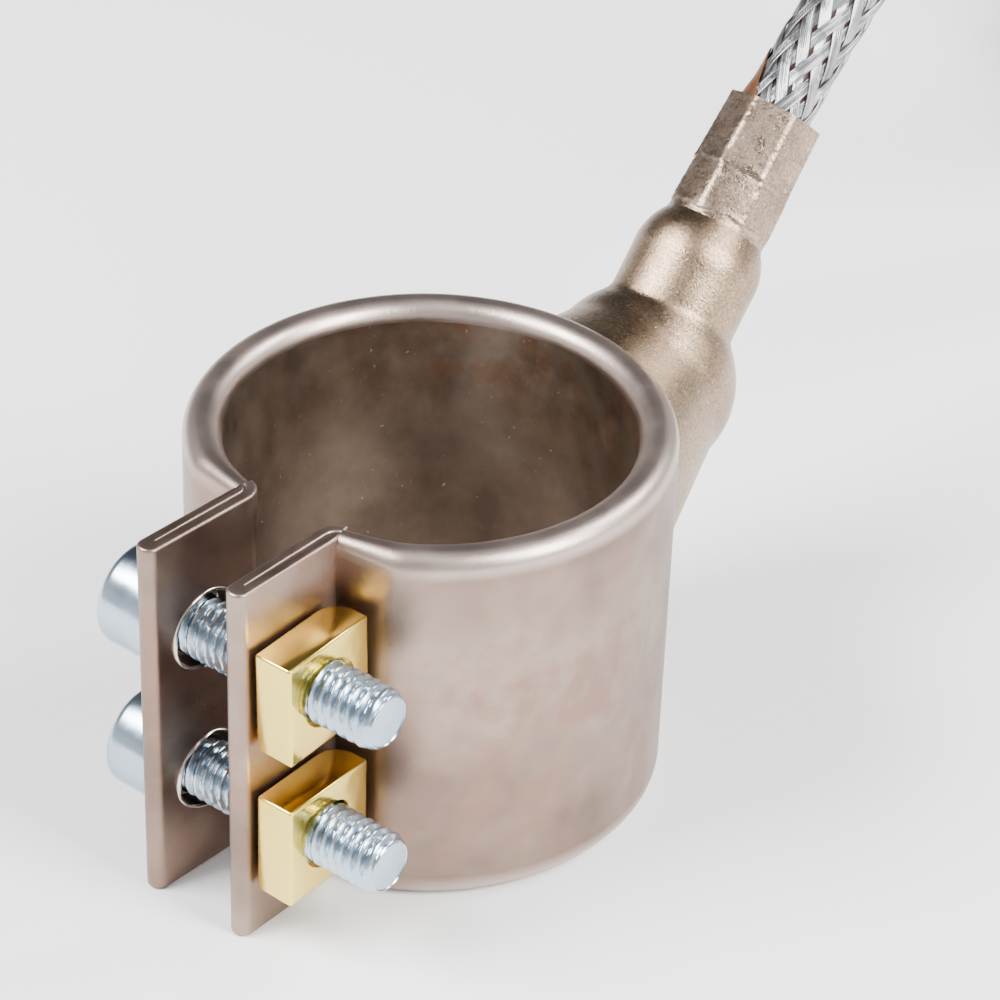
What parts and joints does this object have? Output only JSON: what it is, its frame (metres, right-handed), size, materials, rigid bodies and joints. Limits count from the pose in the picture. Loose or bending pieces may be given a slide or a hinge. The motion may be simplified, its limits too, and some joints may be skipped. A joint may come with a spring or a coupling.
{
  "type": "nozzle band heater",
  "caption": "Sealed nozzle band heater with a folded clamping flange, cap screws in brass nuts, and an angled outlet for a braided lead",
  "frame": {"origin": "on the bore axis, half-way along the band's width", "axes": "+Z along the bore axis, up; the floor is at -Z; -Y points to the clamping ears, +Y to the outlet; +X is the side of the nuts"},
  "size_m": [0.0526, 0.3189, 0.0676],
  "materials": {
    "inner_sheath": "satin warm grey sheet, heat-tinted inside the bore",
    "outer_sheath": "satin warm grey sheet",
    "mica": "flaky mica board",
    "resistance_ribbon": "bright resistance ribbon",
    "nickel_tail": "drawn nickel",
    "ceramic": "fired steatite",
    "glass_sleeve": "brown varnished glass-fibre sleeving",
    "outlet_nickel": "bead-blasted nickel plate",
    "braze": "grainy brazed bead",
    "zinc_screw": "bright zinc plate with a bluish tint",
    "brass_nut": "bright machined brass",
    "braid": "woven bright steel wire over brown sleeving",
    "tie_strap": "black nylon strap"
  },
  "bodies": {
    "band_fixed": {"inner_sheath_fixed": "inner_sheath", "outer_sheath_fixed": "outer_sheath", "inner_mica_fixed": "mica", "element_core_fixed": "mica", "heating_ribbon_fixed": "resistance_ribbon", "outer_mica_fixed": "mica", "element_tails": "nickel_tail", "lead_bushes": "ceramic", "lead_splices": "nickel_tail", "splice_sleeves": "glass_sleeve", "lead_wires": "glass_sleeve", "outlet_cap": "outlet_nickel", "braze_bead": "braze", "outlet_tube": "outlet_nickel", "fibre_sleeve": "glass_sleeve", "cable": "braid", "cable_hank": "braid", "cable_end": "braid", "hank_tie": "tie_strap", "end_collar": "nickel_tail", "tail_leads": "glass_sleeve", "lead_ferrules": "nickel_tail"},
    "band_closing": {"inner_sheath_closing": "inner_sheath", "outer_sheath_closing": "outer_sheath", "inner_mica_closing": "mica", "element_core_closing": "mica", "heating_ribbon_closing": "resistance_ribbon", "outer_mica_closing": "mica"},
    "upper_screw": {"upper_screw": "zinc_screw"},
    "lower_screw": {"lower_screw": "zinc_screw"},
    "upper_nut": {"upper_nut": "brass_nut"},
    "lower_nut": {"lower_nut": "brass_nut"}
  },
  "joints": [
    {"name": "upper_screw_turn", "type": "hinge", "parent": "band_fixed", "child": "upper_screw", "pos_m": [-0.00735, -0.0259, 0.0076], "axis": [1, 0, 0], "range_deg": [0, 900.5]},
    {"name": "lower_screw_turn", "type": "hinge", "parent": "band_fixed", "child": "lower_screw", "pos_m": [-0.00685, -0.0259, -0.0082], "axis": [1, 0, 0], "range_deg": [0, 900.5]},
    {"name": "upper_nut_travel", "type": "slide", "parent": "band_fixed", "child": "upper_nut", "axis": [1, 0, 0], "range_m": [-0.0025, 0]},
    {"name": "lower_nut_travel", "type": "slide", "parent": "band_fixed", "child": "lower_nut", "axis": [1, 0, 0], "range_m": [-0.00251, 0]},
    {"name": "band_close", "type": "hinge", "parent": "band_fixed", "child": "band_closing", "pos_m": [0.01316, 0.01363, 0], "axis": [0, 0, 1], "range_deg": [-4.1, 0]}
  ],
  "couplings": [
    {"joint": "lower_nut_travel", "follows": "upper_nut_travel", "ratio": 1},
    {"joint": "upper_screw_turn", "follows": "upper_nut_travel", "rad_per_m": -6283.2},
    {"joint": "lower_screw_turn", "follows": "upper_nut_travel", "rad_per_m": -6283.2},
    {"joint": "band_close", "follows": "upper_nut_travel", "rad_per_m": 28.086}
  ]
}
